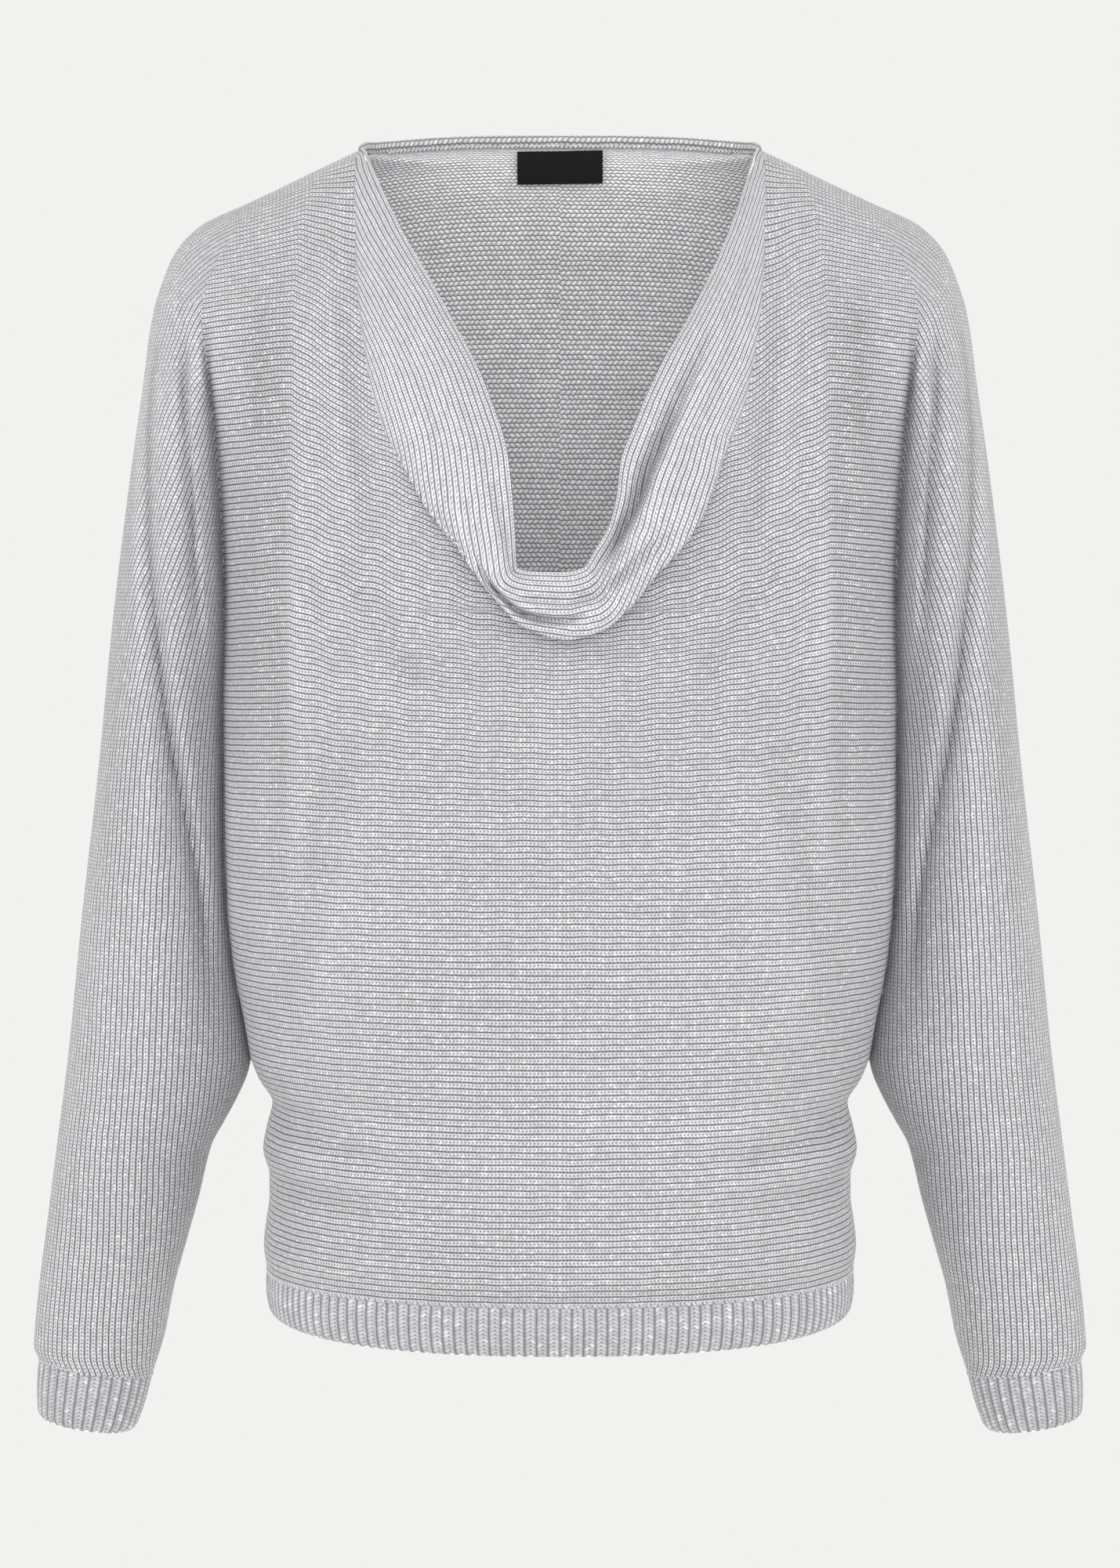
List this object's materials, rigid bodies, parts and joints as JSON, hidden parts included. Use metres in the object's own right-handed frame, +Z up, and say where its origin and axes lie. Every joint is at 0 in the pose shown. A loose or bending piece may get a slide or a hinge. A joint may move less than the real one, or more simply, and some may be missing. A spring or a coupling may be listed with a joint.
{
  "type": "cowl neck sweater",
  "caption": "Metallic knit sweater with a draped cowl neck, batwing long sleeves, ribbed cuffs and a ribbed hem band, filled out as worn and hollow.",
  "frame": {"origin": "the middle of the shoulder line, where the wearer's shoulders hold the sweater up", "axes": "+Z up along the body, +X to the sweater's left sleeve, which is on the right of the picture, and -Y out of the front"},
  "size_m": [0.5498, 0.2579, 0.6835],
  "materials": {
    "front_knit": "silver metallic stockinette knit, soft sheen with bright specks",
    "back_knit": "silver metallic stockinette knit, soft sheen with bright specks",
    "front_sleeve_left_knit": "silver metallic stockinette knit, soft sheen with bright specks",
    "front_sleeve_right_knit": "silver metallic stockinette knit, soft sheen with bright specks",
    "back_sleeve_left_knit": "silver metallic stockinette knit, soft sheen with bright specks",
    "back_sleeve_right_knit": "silver metallic stockinette knit, soft sheen with bright specks",
    "cowl_knit": "silver metallic stockinette knit, soft sheen with bright specks",
    "neck_band_knit": "silver metallic linked knit band",
    "hem_band_rib": "silver metallic one by one rib",
    "cuff_left_rib": "silver metallic one by one rib",
    "cuff_right_rib": "silver metallic one by one rib",
    "label_cloth": "black woven satin, bare"
  },
  "bodies": {
    "root": {"front": "front_knit", "back": "back_knit", "front_sleeve_left": "front_sleeve_left_knit", "front_sleeve_right": "front_sleeve_right_knit", "back_sleeve_left": "back_sleeve_left_knit", "back_sleeve_right": "back_sleeve_right_knit", "cowl": "cowl_knit", "neck_band": "neck_band_knit", "hem_band": "hem_band_rib", "cuff_left": "cuff_left_rib", "cuff_right": "cuff_right_rib", "label": "label_cloth"}
  },
  "joints": []
}
